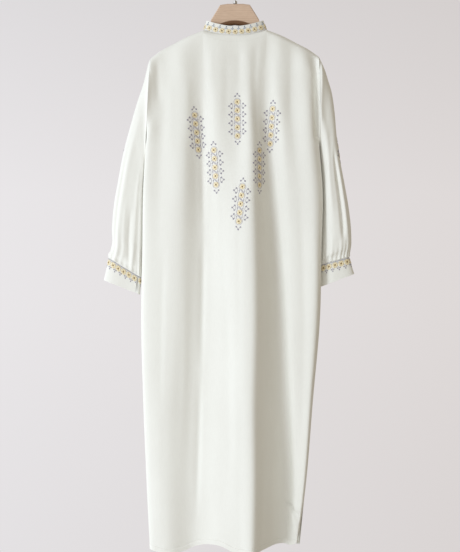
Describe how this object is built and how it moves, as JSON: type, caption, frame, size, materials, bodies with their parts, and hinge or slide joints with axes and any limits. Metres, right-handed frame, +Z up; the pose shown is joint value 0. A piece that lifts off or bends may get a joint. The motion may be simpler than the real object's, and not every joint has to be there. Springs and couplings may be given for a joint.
{
  "type": "caftan on a wooden clothes hanger",
  "caption": "Long ivory caftan with stand collar, gathered cuffs and side vents, hanging from a plain wooden hanger and its steel hook.",
  "frame": {"origin": "the hanger hook's bearing point, on the inner top of its curve, where it lies on the rod that holds it", "axes": "+Z up, -Y the way the garment's back faces (the side in the picture), +Y the way its front faces, +X to the right of the viewer who sees the back"},
  "size_m": [0.6468, 0.1703, 1.4776],
  "materials": {
    "cloth": "soft matt crepe, ivory",
    "band_cloth": "firm matt crepe, ivory, embroidered",
    "hanger_wood": "satin clear varnish",
    "hook_steel": "satin"
  },
  "bodies": {
    "root": {"back_panel": "cloth", "front_panel": "cloth", "sleeve_left": "cloth", "sleeve_right": "cloth", "collar": "band_cloth", "cuff_left": "band_cloth", "cuff_right": "band_cloth", "hanger": "hanger_wood", "hanger_hook": "hook_steel"}
  },
  "joints": []
}
